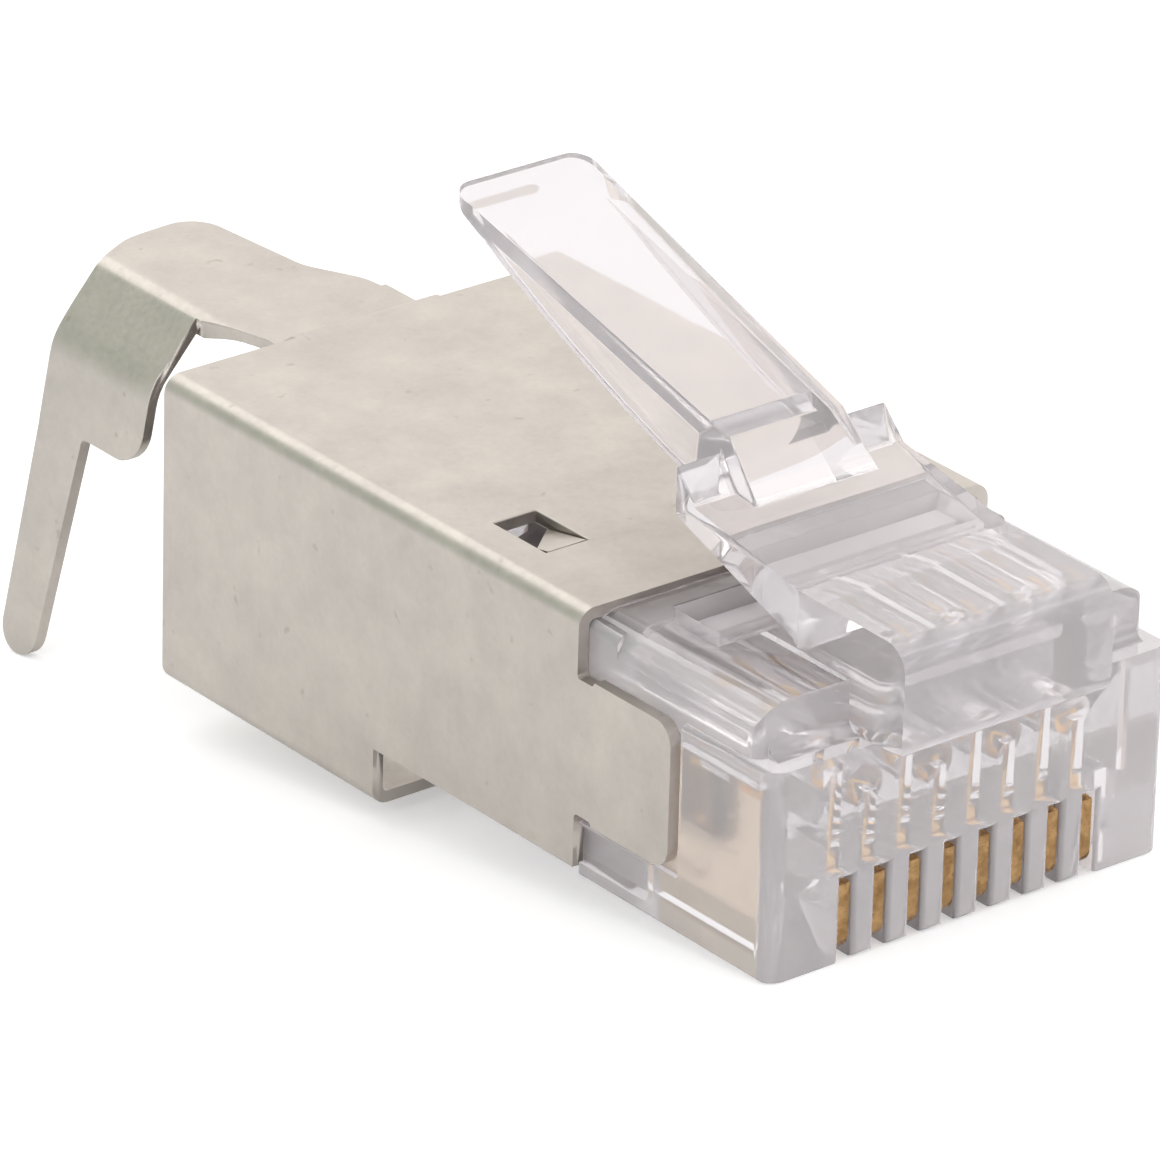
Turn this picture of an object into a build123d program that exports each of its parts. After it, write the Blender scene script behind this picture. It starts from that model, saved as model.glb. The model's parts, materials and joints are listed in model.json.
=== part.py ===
"""Shielded eight-way modular plug: clear housing with its latch, contact blades and folded shield."""
import math
import os

from build123d import *

# Frame: X across the plug, Y from the nose back to the cable end, Z up, all in millimetres.
# The origin is the middle of the nose's lower front edge.

# Housing nose
nose_width = 11.68
nose_height = 5.2
nose_round = 0.5
nose_low_round = 0.12
ledge_round = 0.15

# Upper housing, set back from the nose
upper_rise = 1.3
upper_front = 0.8
upper_round = 0.8
upper_corner = 0.35
ledge_fillet = 0.4

# Folded shield
sheet = 0.3
shield_proud = 0.17
shield_rise = 0.16
shield_front = 6.7
shield_rear = 22.35
shield_step = 14.12
front_skirt = 0.25
rear_floor = -1.25
bend_round = 0.45
seam_gap = 0.14
fit_gap = 0.02

# Side tongues of the shield
tongue_front = 3.36
tongue_low = 1.52
tongue_drop = 0.08
tongue_round = 0.55
tongue_gap = 0.15
relief_length = 0.6
relief_height = 0.22

# Lanced barbs in the shield's top
barb_inset = 1.925
barb_width = 1.21
barb_front = 9.57
barb_rear = 11.5
barb_length = 1.42
barb_short = 0.4
barb_angle = 11.0
barb_slit = 0.06
barb_window_gap = 0.25

# Crimp tail of the shield
tail_drop = 0.46
neck_width = 4.3
neck_lap = 0.6
neck_flare = 0.45
flare_length = 0.3
joggle_start = 0.15
joggle_length = 0.6
joggle_round = 0.4
strip_far_front = (1.98, 25.1)
strip_far_middle = (1.24, 26.55)
strip_far_rear = 0.92
strip_rear_middle = (-1.3, 30.35)
strip_curve = 1.5
strip_corner = 0.9
strip_rear_curve = 2.0
tail_rear = 30.5
wing_front = 25.7
wing_rear = 29.72
wing_low = 2.52
wing_corner = 0.85
wing_fold_x = -2.5
wing_knee = (-3.95, 4.55)
wing_fold_round = 0.6
wing_knee_round = 1.7
finger_front = 27.95
finger_low = -3.35
finger_low_x = -5.5
finger_tip_front = 28.5
finger_tip_rear = 29.86
finger_tip_share = 0.48
finger_step_round = 0.15

# Contacts
contact_count = 8
contact_pitch = 1.02
contact_thick = 0.3
contact_gap = 0.02
contact_low = 0.15
contact_front = 0.12
contact_set_back = 1.2
contact_rear = 4.9
contact_nose_round = 0.4
contact_shelf = 2.0
contact_shelf_front = 1.85
contact_below_wire = 0.72
tine_width = 0.5
tine_front = 2.2
tine_above_wire = 0.2
tine_point = 0.12
notch_width = 1.2
notch_depth = 1.5
notch_round = 0.5

# Contact slots and wire channels in the housing
slot_width = 0.5
slot_end_gap = 0.05
wire_bore = 1.05
wire_low = 3.75
wire_stagger = 0.7
wire_front = 1.6
funnel_front = 6.2
funnel_rear = 8.6
throat_side_gap = 0.355
throat_low_gap = 0.225
throat_high_gap = 0.175
funnel_wall = 0.79
funnel_low = 0.9
funnel_roof = 1.04
housing_rear = 13.9

# Wire clamp window in the housing's top
window_width = 7.8
window_front = 4.35
window_rear = 5.95
window_web = 0.325
clamp_bar_depth = 0.75
clamp_bar_rise = 0.55
clamp_web = 0.25
clamp_gap = 0.3

# Side pocket under each tongue
pocket_front = 4.2
pocket_low = 0.35
pocket_high = 1.3
pocket_depth = 0.35
pocket_round = 0.2

# Latch root on the housing
latch_width = 6.1
root_front = -1.03
root_gap = 0.08
root_rise = 1.37
root_round = 0.65

# Latch hinge: a barrel on the latch in a seat on the root
hinge_y = 2.75
hinge_rise = 0.7
hinge_radius = 0.5
hinge_gap = 0.04
seat_end = 0.1
seat_gap = 0.06

# Latch lever, with places measured from its hinge axis
plate_top_front = 0.73
plate_top_rear = 1.37
plate_end = 3.6
plate_low_rear = 0.95
shoulder_y = 4.3
shoulder_top = 2.12
tab_width = 3.9
tab_top_width = 3.3
tab_foot = (2.75, 1.07)
tab_top_y = 4.1
tab_top = 2.46
tab_tip_y = 14.1
tab_tip_top = 5.22
tab_tip_low = 5.0
tab_middle = (9.65, 2.82)
tab_tip_round = 0.55
tab_band_front = (5.65, 1.7)
tab_band_rear = (12.75, 4.8)
tab_skin = 0.57
tab_wall = 0.4
tab_core_front = 5.2

# Sizes that follow from the ones above
reach = 1.0
nose_side = nose_width / 2
upper_top = nose_height + upper_rise
shield_side = nose_side + shield_proud
shield_top = upper_top + shield_rise
tongue_high = nose_height - tongue_drop
tail_top = shield_top - tail_drop
sheet_inner_round = bend_round - sheet
core_side = shield_side - sheet - fit_gap
core_top = shield_top - sheet - fit_gap
core_round = sheet_inner_round + sheet / 2
latch_side = latch_width / 2
neck_side = neck_width / 2
barb_x = shield_side - barb_inset
barb_side = barb_width / 2
barb_tip = Vector(barb_length, 0).rotate(Axis.Z, -barb_angle)
slot_top = contact_shelf + slot_end_gap
notch_front = tine_front + tine_width
notch_rear = notch_front + notch_width
tine_rear = notch_rear + tine_width
wires_side = (contact_count - 1) / 2 * contact_pitch + wire_bore / 2
wires_low = wire_low - wire_bore / 2
wires_high = wire_low + wire_stagger + wire_bore / 2
throat_side = wires_side + throat_side_gap
throat_low = wires_low - throat_low_gap
throat_high = wires_high + throat_high_gap
funnel_side = core_side - funnel_wall
funnel_high = core_top - funnel_roof
window_side = window_width / 2
window_floor = wires_high + window_web
root_low = nose_height + root_gap
root_top = upper_top + root_rise
hinge_z = upper_top + hinge_rise
finger_tip_round = finger_tip_share * (finger_tip_rear - finger_tip_front)


def contact_x(index):
    """Middle of one contact across the plug."""
    return (index - (contact_count - 1) / 2) * contact_pitch


def wire_height(index):
    """Height of one wire's axis: the wires lie in two staggered rows."""
    return wire_low + (wire_stagger if index % 2 == 0 else 0.0)


def outline(points, radii):
    """Closed flat outline with a radius for each corner."""
    return make_face(FilletPolyline(*points, radius=radii, close=True))


def from_side(face, x_from, x_to):
    """Extrude a side view, drawn as (Y, Z)."""
    plane = Plane((x_from, 0, 0), x_dir=(0, 1, 0), z_dir=(1, 0, 0))
    return extrude(plane * face, x_to - x_from)


def from_front(face, y_from, y_to):
    """Extrude a front view, drawn as (X, Z)."""
    plane = Plane((0, y_to, 0), x_dir=(1, 0, 0), z_dir=(0, -1, 0))
    return extrude(plane * face, y_to - y_from)


def from_top(face, z_from, z_to):
    """Extrude a top view, drawn as (X, Y)."""
    return extrude(Pos(0, 0, z_from) * face, z_to - z_from)


def block(x_span, y_span, z_span):
    """Plain block between three pairs of limits."""
    size = [span[1] - span[0] for span in (x_span, y_span, z_span)]
    middle = [(span[1] + span[0]) / 2 for span in (x_span, y_span, z_span)]
    return Pos(*middle) * Box(*size)


def rod_along_x(radius, y, z, side):
    """Round bar across the plug, centred on its middle plane."""
    return Pos(0, y, z) * Rot(0, 90, 0) * Cylinder(radius, 2 * side)


def both_sides(solid):
    """A solid and its mirror image across the plug's middle plane."""
    return solid + mirror(solid, Plane.YZ)


def centred_outline(side, span, radii):
    """Rectangle about the middle plane, with a radius for each corner from the lower left round."""
    low, high = span
    return outline([(-side, low), (side, low), (side, high), (-side, high)], radii)


def rounded_bar(side, y_span, z_span, section_radii, plan_radius):
    """Long bar with its own corner radii in section and rounded front corners in plan."""
    section = from_front(centred_outline(side, z_span, section_radii), *y_span)
    plan_y = (y_span[0], y_span[1] + reach)
    plan = centred_outline(side, plan_y, [plan_radius, plan_radius, 0, 0])
    return section & from_top(plan, z_span[0] - reach, z_span[1] + reach)


def sheet_along(points, radii, side):
    """Closed section of the sheet, laid along a bent line."""
    line = FilletPolyline(*points, radius=radii)
    return make_face(offset(line, amount=sheet, side=side, closed=True))


def make_latch_root():
    """Block at the top of the nose that carries the latch, with the seat for its barrel."""
    seat_y = hinge_y - seat_end
    points = [
        (root_front, root_low),
        (root_front, root_top),
        (seat_y, hinge_z + plate_top_front),
        (seat_y, upper_top - reach),
        (upper_front + reach, nose_height - reach),
        (0, nose_height - reach),
        (0, nose_height),
    ]
    root = from_side(outline(points, [0, root_round, 0, 0, 0, 0, 0]), -latch_side, latch_side)
    return root - rod_along_x(hinge_radius + hinge_gap, hinge_y, hinge_z, latch_side + reach)


def make_ledge_cove():
    """Concave fillet between the nose's top ledge and the upper housing's front face."""
    half = core_side - upper_corner
    cove_y = upper_front - ledge_fillet
    cove_z = nose_height + ledge_fillet
    cove = block((-half, half), (cove_y, upper_front + reach), (nose_height - reach, cove_z))
    return cove - rod_along_x(ledge_fillet, cove_y, cove_z, half + reach)


def make_wire_space():
    """Staggered wire channels and the funnel that opens to the cable end."""
    facing = {"x_dir": (1, 0, 0), "z_dir": (0, -1, 0)}
    throat = centred_outline(throat_side, (throat_low, throat_high), [0] * 4)
    mouth = centred_outline(funnel_side, (funnel_low, funnel_high), [0] * 4)
    throat = Plane((0, funnel_front, 0), **facing) * throat
    mouth = Plane((0, funnel_rear, 0), **facing) * mouth
    space = loft([throat.face(), mouth.face()])
    rear_y = (funnel_rear, housing_rear + reach)
    space += block((-funnel_side, funnel_side), rear_y, (funnel_low, funnel_high))
    for index in range(contact_count):
        hole = Circle(wire_bore / 2)
        hole = Pos(contact_x(index), wire_height(index)) * hole
        space += from_front(hole, wire_front, funnel_front + reach)
    return space


def make_contact_slots():
    """Slots that hold the blades, wider where they open at the nose's lower front edge."""
    slots = []
    blade_half = contact_thick / 2 + contact_gap
    slot_half = slot_width / 2
    for index in range(contact_count):
        x = contact_x(index)
        blade_y = (contact_set_back - slot_end_gap, contact_rear + slot_end_gap)
        blade_z = (-reach, wire_height(index))
        slots.append(block((x - blade_half, x + blade_half), blade_y, blade_z))
        open_y = (-reach, contact_set_back + slot_end_gap)
        slots.append(block((x - slot_half, x + slot_half), open_y, (-reach, slot_top)))
    return slots


def make_clamp_bar():
    """Bar in the top window that is pressed onto the wires, on its thin web."""
    half = window_side - clamp_gap
    bar_rear = window_rear - clamp_gap
    bar_low = window_floor + clamp_gap
    bar_y = (bar_rear - clamp_bar_depth, bar_rear)
    bar = block((-half, half), bar_y, (bar_low, bar_low + clamp_bar_rise))
    web_y = (window_front - reach, bar_rear)
    return bar + block((-half, half), web_y, (bar_low, bar_low + clamp_web))


def make_body():
    """Clear moulded housing."""
    front_rear = shield_front - fit_gap
    nose_section = [nose_low_round, nose_low_round, ledge_round, ledge_round]
    upper_section = [0, 0, upper_round, upper_round]
    nose = rounded_bar(nose_side, (0, front_rear), (0, nose_height), nose_section, nose_round)
    upper_z = (nose_height - reach, upper_top)
    upper = rounded_bar(core_side, (upper_front, front_rear), upper_z, upper_section, upper_corner)
    core_section = centred_outline(core_side, (0, core_top), [core_round] * 4)
    core = from_front(core_section, shield_front - reach, housing_rear)
    body = nose + upper + core
    body += make_ledge_cove() + make_latch_root()

    tongue_y = (tongue_front - tongue_gap, shield_front)
    tongue_z = (tongue_low - tongue_gap, nose_height + reach)
    body -= both_sides(block((core_side, nose_side + reach), tongue_y, tongue_z))

    corners = [
        (pocket_front, pocket_low),
        (shield_front + reach, pocket_low),
        (shield_front + reach, pocket_high),
        (pocket_front, pocket_high),
    ]
    pocket = outline(corners, [pocket_round, 0, 0, pocket_round])
    body -= both_sides(from_side(pocket, nose_side - pocket_depth, nose_side + reach))

    barb_window_x = (barb_x - barb_side, barb_x + barb_side)
    barb_window_y = (barb_front - barb_window_gap, barb_rear + barb_window_gap)
    body -= both_sides(block(barb_window_x, barb_window_y, (funnel_high - reach, shield_top)))

    window_x = (-window_side, window_side)
    body -= block(window_x, (window_front, window_rear), (window_floor, upper_top + reach))
    body += make_clamp_bar()
    body -= make_wire_space()
    return body - make_contact_slots()


def make_tab_core():
    """Hollow under the tab, which leaves it an even top and thin walls."""
    rise = (tab_tip_top - tab_top) / (tab_tip_y - tab_top_y)
    core_front_top = tab_top + (tab_core_front - tab_top_y) * rise - tab_skin
    corners = [
        (tab_core_front, plate_low_rear - reach),
        (tab_core_front, core_front_top),
        (tab_tip_y, tab_tip_top - tab_skin),
        (tab_tip_y, plate_low_rear - reach),
    ]
    side = tab_width / 2 - tab_wall
    return from_side(outline(corners, [0] * 4), -side, side)


def make_latch():
    """Locking lever: barrel, wide plate with shoulders, and the narrow wedge-shaped tab."""
    plate_front = seat_gap - seat_end
    foot_low = (shoulder_y, plate_low_rear)
    barrel = rod_along_x(hinge_radius, 0, 0, latch_side)
    to_foot = Vector(foot_low)
    turn = math.degrees(math.acos(hinge_radius / to_foot.length))
    touch = (to_foot.normalized() * hinge_radius).rotate(Axis.Z, -turn)
    plate_points = [
        (plate_front, 0),
        (touch.X, touch.Y),
        foot_low,
        (shoulder_y, shoulder_top),
        (plate_end, plate_top_rear),
        (plate_front, plate_top_front),
    ]
    plate = from_side(outline(plate_points, [0] * len(plate_points)), -latch_side, latch_side)

    tab_side = tab_width / 2
    under = ThreePointArc(foot_low, tab_middle, (tab_tip_y, tab_tip_low))
    rest = Polyline(
        (tab_tip_y, tab_tip_low),
        (tab_tip_y, tab_tip_top),
        (tab_top_y, tab_top),
        tab_foot,
        foot_low,
    )
    tab = from_side(make_face([under, rest]), -tab_side, tab_side)
    tip_edges = tab.edges().filter_by(Axis.Z).group_by(Axis.Y)[-1]
    tab = fillet(tip_edges, tab_tip_round)
    rear_point = Vector(tab_side, *tab_band_rear)
    front_point = Vector(tab_side, *tab_band_front)
    top_point = Vector(tab_top_width / 2, tab_top_y, tab_top)
    along = rear_point - front_point
    outward = along.cross(top_point - front_point)
    facet = Plane(front_point, x_dir=along, z_dir=outward)
    for _ in ("right", "left"):
        tab = mirror(split(tab, bisect_by=facet, keep=Keep.BOTTOM), Plane.YZ)
    tab -= make_tab_core()
    return Pos(0, hinge_y, hinge_z) * (barrel + plate + tab)


def make_contact(index):
    """One blade: rounded contact nose below, two piercing tines above with a deep notch between them."""
    top = wire_height(index) - contact_below_wire
    tine_top = wire_height(index) + tine_above_wire
    points = [
        (contact_front, contact_low),
        (contact_front, contact_shelf_front),
        (contact_set_back, contact_shelf),
        (contact_set_back, top),
        (tine_front, top),
        (tine_front + tine_point, tine_top),
        (notch_front - tine_point, tine_top),
        (notch_front, top - notch_depth),
        (notch_rear, top - notch_depth),
        (notch_rear + tine_point, tine_top),
        (tine_rear - tine_point, tine_top),
        (tine_rear, top),
        (contact_rear, top),
        (contact_rear, contact_low),
    ]
    radii = [contact_nose_round, 0, 0, 0, 0, 0, 0, notch_round, notch_round, 0, 0, 0, 0, 0]
    x = contact_x(index)
    return from_side(outline(points, radii), x - contact_thick / 2, x + contact_thick / 2)


def make_shield_box():
    """Box of the shield: full section behind the step, open below in front of it."""
    outer = centred_outline(shield_side, (rear_floor, shield_top), [bend_round] * 4)
    inner_z = (rear_floor + sheet, shield_top - sheet)
    inner = centred_outline(shield_side - sheet, inner_z, [sheet_inner_round] * 4)
    box = from_front(outer - inner, shield_front, shield_rear)
    wide = shield_side + reach
    box -= block((-wide, wide), (shield_front - reach, shield_step), (rear_floor - reach, front_skirt))
    seam_y = (shield_step - reach, shield_rear + reach)
    seam_z = (rear_floor - reach, rear_floor + bend_round)
    return box - block((-seam_gap / 2, seam_gap / 2), seam_y, seam_z)


def make_tongue():
    """Right side tongue, with a relief cut at each corner of its root."""
    root = shield_front + sheet
    corners = [
        (root, tongue_low),
        (tongue_front, tongue_low),
        (tongue_front, tongue_high),
        (root, tongue_high),
    ]
    tongue = outline(corners, [0, tongue_round, tongue_round, 0])
    relief = SlotOverall(relief_length, relief_height)
    relief_y = shield_front - relief_length / 2
    for z in (tongue_low, tongue_high):
        tongue -= Pos(relief_y, z) * relief
    return from_side(tongue, shield_side - sheet, shield_side)


def make_barb():
    """Right lanced barb: a pointed flap left in its window, bent down from its front edge."""
    inner = barb_x - barb_side + barb_slit
    outer = barb_x + barb_side - barb_slit
    path = [
        (barb_front - sheet, shield_top),
        (barb_front, shield_top),
        (barb_front + barb_tip.X, shield_top + barb_tip.Y),
    ]
    strip = from_side(sheet_along(path, [sheet], Side.RIGHT), inner, outer)
    plan = [
        (inner, barb_front - sheet),
        (outer, barb_front - sheet),
        (outer, barb_front + barb_short),
        (inner, barb_front + barb_length),
    ]
    return strip & from_top(outline(plan, [0] * 4), shield_top - reach, shield_top + reach)


def make_tail():
    """Neck, strip, wing and finger that are bent round the cable."""
    root_y = shield_rear - neck_lap
    neck_rear = shield_rear + joggle_start + joggle_length
    strip_start = neck_rear + joggle_round
    joggle = [
        (root_y, shield_top),
        (shield_rear + joggle_start, shield_top),
        (neck_rear, tail_top),
        (strip_start + reach, tail_top),
    ]
    neck = from_side(sheet_along(joggle, [joggle_round] * 2, Side.RIGHT), -neck_side, neck_side)
    wide = shield_side
    fold = [
        (wide, tail_top),
        (wing_fold_x, tail_top),
        wing_knee,
        (finger_low_x, finger_low - sheet),
    ]
    folded = sheet_along(fold, [wing_fold_round, wing_knee_round], Side.LEFT)
    strip = from_front(folded, strip_start, tail_rear + reach)

    flare_side = neck_side + neck_flare
    plan = [
        (-neck_side, strip_start),
        (neck_side, strip_start),
        strip_far_front,
        strip_far_middle,
        (strip_far_rear, tail_rear),
        strip_rear_middle,
        (wing_fold_x, wing_rear),
        (-wide, wing_rear),
        (-wide, wing_front),
        (-flare_side, wing_front),
        (-flare_side, wing_front - flare_length),
    ]
    plan_radii = [0, 0, strip_curve, strip_curve, strip_corner, strip_rear_curve, 0, 0, 0, 0, 0]
    flat = from_top(outline(plan, plan_radii), finger_low - reach, shield_top + reach)

    under_fold = tail_top - sheet - reach
    side = [
        (root_y, shield_top + reach),
        (tail_rear + reach, shield_top + reach),
        (tail_rear + reach, under_fold),
        (wing_rear, under_fold),
        (wing_rear, wing_low),
        (finger_tip_rear, finger_low),
        (finger_tip_front, finger_low),
        (finger_front, wing_low),
        (wing_front, wing_low),
        (wing_front, under_fold),
        (root_y, under_fold),
    ]
    finger_radii = [finger_tip_round, finger_tip_round, finger_step_round, wing_corner]
    side_radii = [0, 0, 0, 0, 0] + finger_radii + [0, 0]
    folded_strip = strip & from_side(outline(side, side_radii), -wide, wide)
    finger_space = block((-wide, wing_knee[0]), (wing_front, tail_rear), (finger_low, wing_low))
    return neck + (folded_strip & flat) + (folded_strip & finger_space)


def make_shield():
    """One folded sheet: box, side tongues, lanced barbs and crimp tail."""
    shield = make_shield_box()
    barb_hole_x = (barb_x - barb_side, barb_x + barb_side)
    barb_hole_z = (shield_top - bend_round, shield_top + reach)
    shield -= both_sides(block(barb_hole_x, (barb_front, barb_rear), barb_hole_z))
    return shield + both_sides(make_tongue()) + both_sides(make_barb()) + make_tail()


def main():
    """Build every piece and write it under its own name."""
    os.makedirs("parts", exist_ok=True)
    pieces = {"plug_body": make_body(), "latch": make_latch(), "shield": make_shield()}
    for index in range(contact_count):
        pieces[f"contact_{index + 1}"] = make_contact(index)
    for name, piece in pieces.items():
        export_step(piece, f"parts/{name}.step")


main()
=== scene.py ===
import json
import math

import bmesh
import bpy
from bpy.props import FloatProperty, FloatVectorProperty, IntProperty, PointerProperty
from mathutils import Matrix, Vector


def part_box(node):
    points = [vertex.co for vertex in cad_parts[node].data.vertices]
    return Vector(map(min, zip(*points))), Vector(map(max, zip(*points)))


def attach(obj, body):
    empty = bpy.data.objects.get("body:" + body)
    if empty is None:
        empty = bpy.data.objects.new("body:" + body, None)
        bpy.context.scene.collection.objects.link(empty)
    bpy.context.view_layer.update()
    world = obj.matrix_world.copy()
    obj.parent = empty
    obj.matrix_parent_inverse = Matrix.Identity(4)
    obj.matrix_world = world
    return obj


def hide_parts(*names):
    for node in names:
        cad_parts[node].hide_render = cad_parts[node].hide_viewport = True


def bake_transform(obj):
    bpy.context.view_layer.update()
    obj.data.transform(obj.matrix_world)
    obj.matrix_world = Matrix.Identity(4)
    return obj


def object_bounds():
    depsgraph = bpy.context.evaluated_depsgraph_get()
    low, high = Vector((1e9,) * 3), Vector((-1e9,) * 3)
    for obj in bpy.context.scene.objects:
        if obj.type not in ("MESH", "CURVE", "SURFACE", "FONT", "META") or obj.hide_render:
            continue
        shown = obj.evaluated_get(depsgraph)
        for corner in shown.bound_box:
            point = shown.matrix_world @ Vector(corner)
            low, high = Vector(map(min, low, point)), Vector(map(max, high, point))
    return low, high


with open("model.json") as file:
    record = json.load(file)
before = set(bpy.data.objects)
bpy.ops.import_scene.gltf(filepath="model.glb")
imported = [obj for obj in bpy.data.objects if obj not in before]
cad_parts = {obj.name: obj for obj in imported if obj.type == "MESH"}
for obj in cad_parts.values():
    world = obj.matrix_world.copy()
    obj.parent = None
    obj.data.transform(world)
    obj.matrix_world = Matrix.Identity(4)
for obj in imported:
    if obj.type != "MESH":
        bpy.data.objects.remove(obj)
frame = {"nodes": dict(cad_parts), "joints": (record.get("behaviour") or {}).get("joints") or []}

bl_info = {
    "name": "Clear Modular Plug",
    "version": (1, 0, 0),
    "blender": (4, 5, 0),
    "location": "View3D > Sidebar > Modular Plug",
    "description": "Clear housing and latch, nickel shield and gold contacts of a modular plug, with a studio",
    "category": "Object",
}

# The model's own box, before anything is added
CAD_BOX = [list(corner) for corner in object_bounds()]

# Meshes are shaped in millimetres and stored in metres
MILLI = 0.001

# Places closer than this are one place, in millimetres, and faces that turn less than this are one face
SAME = 0.001
SAME_ANGLE = math.radians(0.4)

# An edge is rounded where its neighbours are this many times as long as the round
ROUND_ROOM = 2.5

# Rows of faces in a round, and how strongly the shading follows the large faces beside it
ROUND_SEGMENTS = 2
FLAT_WEIGHT = 100

# Least part of a face's normal that lies along an axis, for a face square to it and for one on the top
SQUARE = 0.99
UPWARD = 0.9

# The hinge axis of the latch, in millimetres
HINGE = next(joint for joint in frame["joints"] if joint["name"] == "latch_flex")
HINGE_Y = HINGE["pos_m"][1] / MILLI
HINGE_Z = HINGE["pos_m"][2] / MILLI

# Half width of the housing, in millimetres
HOUSING_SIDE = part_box("plug_body")[1][0] / MILLI

# Names of the contact blades, and the lowest and highest corner of each in millimetres
BLADE_NAMES = [name for name in frame["nodes"] if name.startswith("contact_")]
BLADES = [[Vector(corner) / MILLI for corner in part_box(name)] for name in BLADE_NAMES]

# Places of the housing's second and third material
CORE, SLOT = 1, 2

# Soft cards of the studio sky: direction, inner and outer angle in degrees, colour
SKY_CARDS = (
    ((0, 0, 1), 30, 75, (0.97, 0.97, 0.97)),
    ((0.35, 0.8, 0.5), 25, 55, (1.13, 1.1, 1.07)),
    ((-0.56, 0.7, 0.42), 10, 32, (0.54, 0.6, 0.52)),
    ((0.1, -1, 0.25), 25, 70, (1.0, 0.99, 1.01)),
)

# Studio lamps: name, place in metres, width in metres, power in watts
LAMPS = (
    ("key_lamp", (0.02, 0.29, 0.3), 0.3, 0.16),
    ("left_lamp", (-0.3, -0.06, 0.2), 0.1, 0.14),
    ("fill_lamp", (0.3, -0.12, 0.22), 0.18, 0.15),
    ("front_lamp", (0.0, -0.34, 0.1), 0.2, 0.22),
)


class PlugShape(bpy.types.PropertyGroup):
    """Sizes of the moulded edges, of the housing's faces and of the latch's bending root."""

    edge_round: FloatProperty(
        name="Moulded edge round",
        description="Radius broken on the edges of the clear plastic",
        default=0.05 * MILLI,
        unit="LENGTH",
    )
    sheet_round: FloatProperty(
        name="Sheet edge round",
        description="Radius broken on the cut edges of the metal sheet",
        default=0.04 * MILLI,
        unit="LENGTH",
    )
    rib_round: FloatProperty(
        name="Rib round",
        description="Radius on the front edges of the ribs between the contact slots",
        default=0.13 * MILLI,
        unit="LENGTH",
    )
    sharp_angle: FloatProperty(
        name="Sharp angle",
        description="Edges that turn more than this are rounded",
        default=math.radians(32),
        subtype="ANGLE",
    )
    seat_reach: FloatProperty(
        name="Seat reach",
        description="How far from the hinge axis the housing's round seat lies at most",
        default=0.56 * MILLI,
        unit="LENGTH",
    )
    inner_front: FloatProperty(
        name="Inner front",
        description="Where the frosted inner faces start behind the nose's front",
        default=1.3 * MILLI,
        unit="LENGTH",
    )
    inner_depth: FloatProperty(
        name="Inner depth",
        description="How far the frosted inner faces lie behind the housing's sides",
        default=0.6 * MILLI,
        unit="LENGTH",
    )
    barb_inner: FloatProperty(
        name="Barb window's inner side",
        description="Where the windows under the barbs start beside the middle",
        default=3.4 * MILLI,
        unit="LENGTH",
    )
    barb_outer: FloatProperty(
        name="Barb window's outer side",
        description="Where the windows under the barbs end beside the middle",
        default=4.75 * MILLI,
        unit="LENGTH",
    )
    barb_front: FloatProperty(
        name="Barb window's front",
        description="Where the windows under the barbs start",
        default=9.3 * MILLI,
        unit="LENGTH",
    )
    barb_rear: FloatProperty(
        name="Barb window's rear",
        description="Where the windows under the barbs end",
        default=11.8 * MILLI,
        unit="LENGTH",
    )
    slot_reach: FloatProperty(
        name="Slot reach",
        description="How far from a blade the walls of its slot lie at most",
        default=0.11 * MILLI,
        unit="LENGTH",
    )
    slot_front: FloatProperty(
        name="Slot front",
        description="Where the narrow part of the slots starts behind the nose's front",
        default=1.0 * MILLI,
        unit="LENGTH",
    )
    rib_height: FloatProperty(
        name="Rib height",
        description="Height below which the ribs lie",
        default=2.2 * MILLI,
        unit="LENGTH",
    )
    rib_reach: FloatProperty(
        name="Rib reach",
        description="How far from the middle of a blade the next ribs' sides lie at most",
        default=0.3 * MILLI,
        unit="LENGTH",
    )
    rib_widen: FloatProperty(
        name="Rib widening",
        description="How far each side of a rib comes closer to its blade",
        default=0.06 * MILLI,
        unit="LENGTH",
    )
    rib_gap: FloatProperty(
        name="Rib gap",
        description="Least gap between a rib and its blade",
        default=0.02 * MILLI,
        unit="LENGTH",
    )
    root_cut: FloatProperty(
        name="Root cut",
        description="Where the latch plate is cut off behind the hinge axis",
        default=0.55 * MILLI,
        unit="LENGTH",
    )
    root_loops: IntProperty(
        name="Root loops",
        description="Rows of faces in the latch's bending root",
        default=6,
    )
    root_depth: FloatProperty(
        name="Root depth",
        description="How far the latch's root reaches below the hinge axis",
        default=1.0 * MILLI,
        unit="LENGTH",
    )
    root_reach: FloatProperty(
        name="Root reach",
        description="How far before the hinge axis the root's rear face lies at most",
        default=0.5 * MILLI,
        unit="LENGTH",
    )
    root_foot: FloatProperty(
        name="Root foot",
        description="How far the root's foot lies below the hinge axis at most",
        default=2.0 * MILLI,
        unit="LENGTH",
    )
    bend_length: FloatProperty(
        name="Bend length",
        description="Length of the root that bends when the latch is pressed",
        default=2.2 * MILLI,
        unit="LENGTH",
    )


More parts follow.
